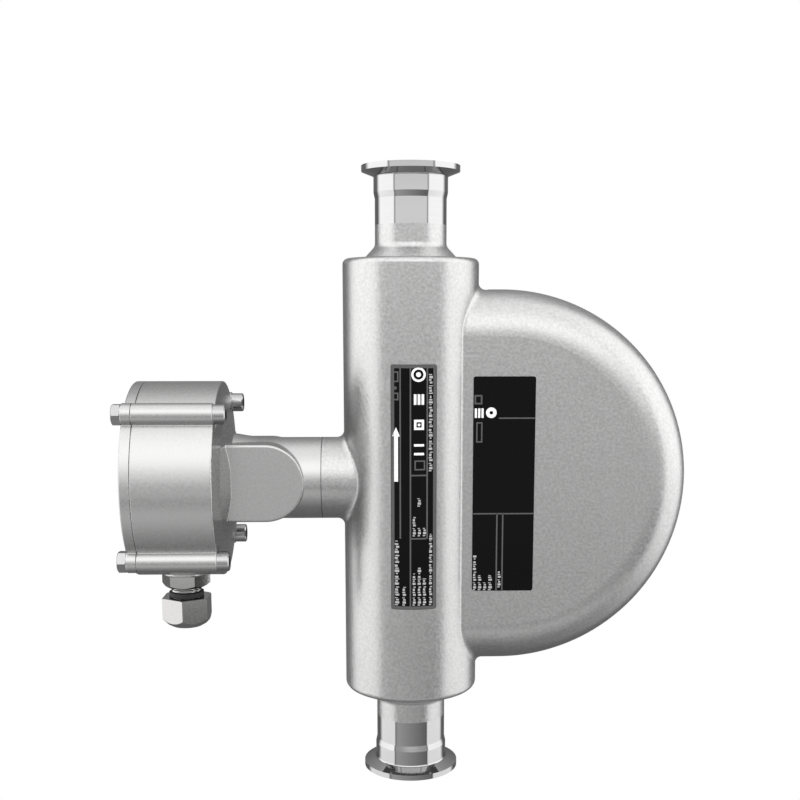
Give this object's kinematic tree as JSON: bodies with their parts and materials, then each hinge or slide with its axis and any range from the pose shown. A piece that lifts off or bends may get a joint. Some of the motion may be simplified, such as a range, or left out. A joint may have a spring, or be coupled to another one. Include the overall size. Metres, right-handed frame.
{
  "type": "coriolis flow meter",
  "caption": "Vertical hygienic Coriolis flow meter: tube body with clamp ferrules, D-shaped loop housing on one side and a round terminal box with cable gland on the other.",
  "frame": {"origin": "centre of the inlet ferrule's face, at the bottom of the meter", "axes": "+Z along the pipe in the way of the flow, +X towards the loop housing, -Y is the front with the nameplates"},
  "size_m": [0.2935, 0.102, 0.32],
  "materials": {
    "blasted_steel": "bead-blasted stainless steel, satin",
    "polished_steel": "polished stainless steel",
    "cast_steel": "blasted stainless casting, satin",
    "inner_steel": "drawn stainless steel",
    "bright_fasteners": "bright stainless steel",
    "magnet_metal": "nickel-plated magnet",
    "copper_coil": "enamelled copper wire",
    "pin_brass": "gold-plated brass",
    "nickel_brass": "nickel-plated brass, bright",
    "clamp_plastic": "grey polyamide",
    "black_rubber": "black elastomer",
    "seal_resin": "black potting resin",
    "board_green": "circuit board with solder mask",
    "block_grey": "grey polyamide",
    "lead_red": "insulated stiff wire",
    "sensor_white": "ceramic sensor element",
    "plate_black": "black printed plate"
  },
  "bodies": {
    "meter": {"outlet_end_cap": "blasted_steel", "inlet_end_cap": "blasted_steel", "body_tube": "blasted_steel", "loop_shell_front": "blasted_steel", "loop_shell_rear": "blasted_steel", "neck_stub": "blasted_steel", "outlet_ferrule": "polished_steel", "inlet_ferrule": "polished_steel", "terminal_housing": "cast_steel", "outlet_splitter": "inner_steel", "inlet_splitter": "inner_steel", "cover_bolt_front_top": "bright_fasteners", "cover_bolt_front_bottom": "bright_fasteners", "cover_bolt_rear_top": "bright_fasteners", "cover_bolt_rear_bottom": "bright_fasteners", "board_screw_top": "bright_fasteners", "board_screw_left": "bright_fasteners", "board_screw_right": "bright_fasteners", "terminal_screws": "bright_fasteners", "feedthrough_pins": "pin_brass", "gland_body": "nickel_brass", "neck_o_ring": "black_rubber", "gland_dust_ring": "black_rubber", "gland_seal": "black_rubber", "feedthrough": "seal_resin", "terminal_board": "board_green", "terminal_block": "block_grey", "signal_leads": "lead_red", "main_nameplate": "plate_black", "side_nameplate": "plate_black"},
    "cover": {"cover": "cast_steel", "cover_gasket": "black_rubber", "cover_nut_front_top": "bright_fasteners", "cover_nut_front_bottom": "bright_fasteners", "cover_nut_rear_top": "bright_fasteners", "cover_nut_rear_bottom": "bright_fasteners"},
    "clamp_ring": {"gland_clamp_ring": "clamp_plastic"},
    "gland_cap": {"gland_cap": "nickel_brass"},
    "front_tube": {"measuring_tube_front": "inner_steel", "outlet_brace": "inner_steel", "inlet_brace": "inner_steel", "temperature_sensor": "sensor_white", "drive_magnet": "magnet_metal", "drive_magnet_bracket": "inner_steel", "outlet_pickoff_magnet": "magnet_metal", "outlet_pickoff_magnet_bracket": "inner_steel", "inlet_pickoff_magnet": "magnet_metal", "inlet_pickoff_magnet_bracket": "inner_steel"},
    "rear_tube": {"measuring_tube_rear": "inner_steel", "drive_coil": "copper_coil", "drive_coil_bracket": "inner_steel", "outlet_pickoff_coil": "copper_coil", "outlet_pickoff_coil_bracket": "inner_steel", "inlet_pickoff_coil": "copper_coil", "inlet_pickoff_coil_bracket": "inner_steel"}
  },
  "joints": [
    {"name": "cover_lift", "type": "slide", "parent": "meter", "child": "cover", "axis": [-1, 0, 0], "range_m": [0, 0.045]},
    {"name": "clamp_ring_travel", "type": "slide", "parent": "meter", "child": "clamp_ring", "axis": [0, 0, -1], "range_m": [0, 0.0045]},
    {"name": "gland_cap_turn", "type": "hinge", "parent": "clamp_ring", "child": "gland_cap", "pos_m": [-0.1206, 0, 0.0875], "axis": [0, 0, -1], "range_deg": [0, 1080]},
    {"name": "front_tube_swing", "type": "hinge", "parent": "meter", "child": "front_tube", "pos_m": [0, -0.01, 0.16], "axis": [0, 0, 1], "range_deg": [-0.1, 0.1], "stiffness_Nm_per_rad": 20},
    {"name": "rear_tube_swing", "type": "hinge", "parent": "meter", "child": "rear_tube", "pos_m": [0, 0.01, 0.16], "axis": [0, 0, 1], "range_deg": [-0.1, 0.1], "stiffness_Nm_per_rad": 20}
  ],
  "couplings": [
    {"joint": "clamp_ring_travel", "follows": "gland_cap_turn", "m_per_rad": 0.00023873},
    {"joint": "rear_tube_swing", "follows": "front_tube_swing", "ratio": -1}
  ]
}
